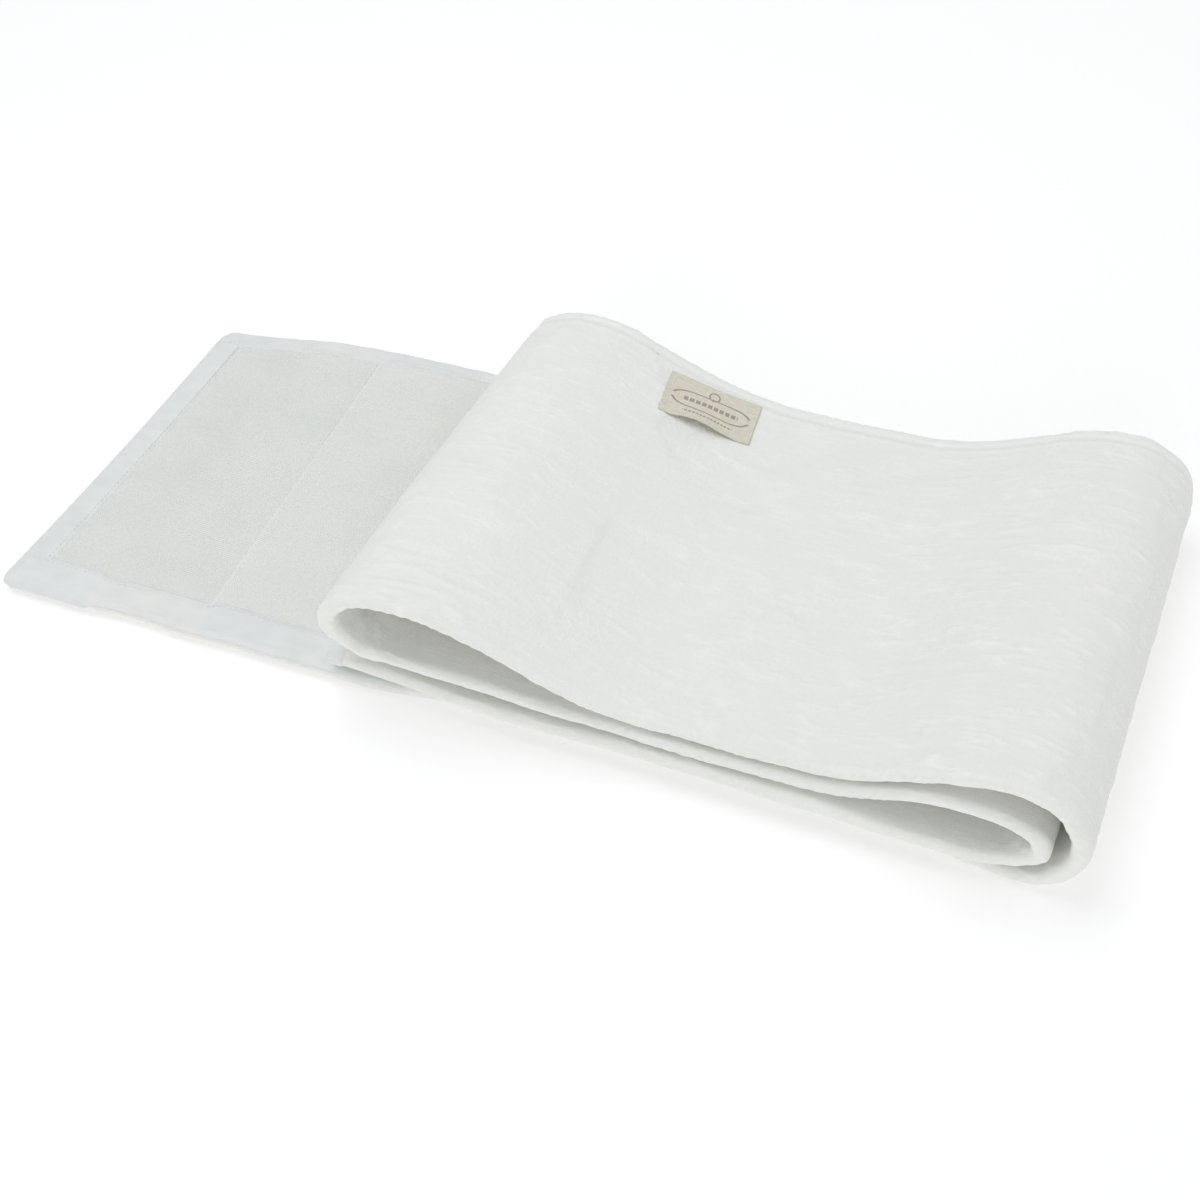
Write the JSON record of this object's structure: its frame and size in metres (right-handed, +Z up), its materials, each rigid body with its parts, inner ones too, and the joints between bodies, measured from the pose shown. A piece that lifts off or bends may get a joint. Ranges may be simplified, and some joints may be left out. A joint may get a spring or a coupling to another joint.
{
  "type": "padded wrap belt",
  "caption": "Wide padded cotton wrap belt, folded for storage, with hook tapes across one end that close on its own outer cloth.",
  "frame": {"origin": "middle of the underside of the folded belt, on the surface it lies on", "axes": "+X along the band from the hook end to the folds, +Y across the band to the edge with the label, +Z up"},
  "size_m": [0.5026, 0.2, 0.0686],
  "materials": {
    "cotton": "matte crinkled cotton muslin",
    "lining": "matte cotton",
    "wadding": "soft polyester wadding",
    "hook_tape": "woven nylon tape with fine hooks",
    "binding": "smooth satin-like woven strip",
    "thread": "spun polyester sewing thread",
    "label": null
  },
  "bodies": {
    "lower": {"outer_cloth_landing": "cotton", "wadding_landing": "wadding", "lining_landing": "lining", "hook_tape_landing": "hook_tape", "hem_near_landing": "binding", "hem_far_landing": "binding", "hem_stitch_near_landing": "thread", "hem_stitch_far_landing": "thread", "outer_cloth_run": "cotton", "wadding_run": "wadding", "lining_run": "lining", "outer_cloth_outer_fold": "cotton", "wadding_outer_fold": "wadding", "lining_outer_fold": "lining", "edge_stitch_outer_fold": "thread"},
    "roll": {"outer_cloth_top": "cotton", "wadding_top": "wadding", "lining_top": "lining", "outer_cloth_nose": "cotton", "wadding_nose": "wadding", "lining_nose": "lining", "outer_cloth_middle": "cotton", "wadding_middle": "wadding", "lining_middle": "lining", "outer_cloth_inner_fold": "cotton", "wadding_inner_fold": "wadding", "lining_inner_fold": "lining", "outer_cloth_bottom": "cotton", "wadding_bottom": "wadding", "lining_bottom": "lining", "free_end_binding": "binding", "edge_stitch_nose": "thread", "edge_stitch_top": "thread", "label": "label", "label_stitch_left": "thread", "label_stitch_right": "thread"},
    "wrap_panel": {"outer_cloth_base": "cotton", "wadding_base": "wadding", "lining_base": "lining", "hook_tape_base": "hook_tape", "hem_near_base": "binding", "hem_far_base": "binding", "hem_stitch_near_base": "thread", "hem_stitch_far_base": "thread"},
    "tip_panel": {"outer_cloth_tip": "cotton", "wadding_tip": "wadding", "lining_tip": "lining", "hook_tape_tip": "hook_tape", "hem_near_tip": "binding", "hem_far_tip": "binding", "hem_stitch_near_tip": "thread", "hem_stitch_far_tip": "thread", "end_binding": "binding", "end_binding_stitch": "thread", "tape_seam_stitch": "thread"}
  },
  "joints": [
    {"name": "roll_opening", "type": "hinge", "parent": "lower", "child": "roll", "pos_m": [0.247, 0, 0.036], "axis": [0, 1, 0], "range_deg": [0, 178], "deforming": ["outer_cloth_outer_fold", "wadding_outer_fold", "lining_outer_fold", "edge_stitch_outer_fold"]},
    {"name": "wrap_bend", "type": "hinge", "parent": "lower", "child": "wrap_panel", "pos_m": [-0.08, 0, 0.0081], "axis": [0, 1, 0], "range_deg": [0, 90]},
    {"name": "tip_bend", "type": "hinge", "parent": "wrap_panel", "child": "tip_panel", "pos_m": [-0.146, 0, 0.0081], "axis": [0, 1, 0], "range_deg": [0, 90]}
  ]
}
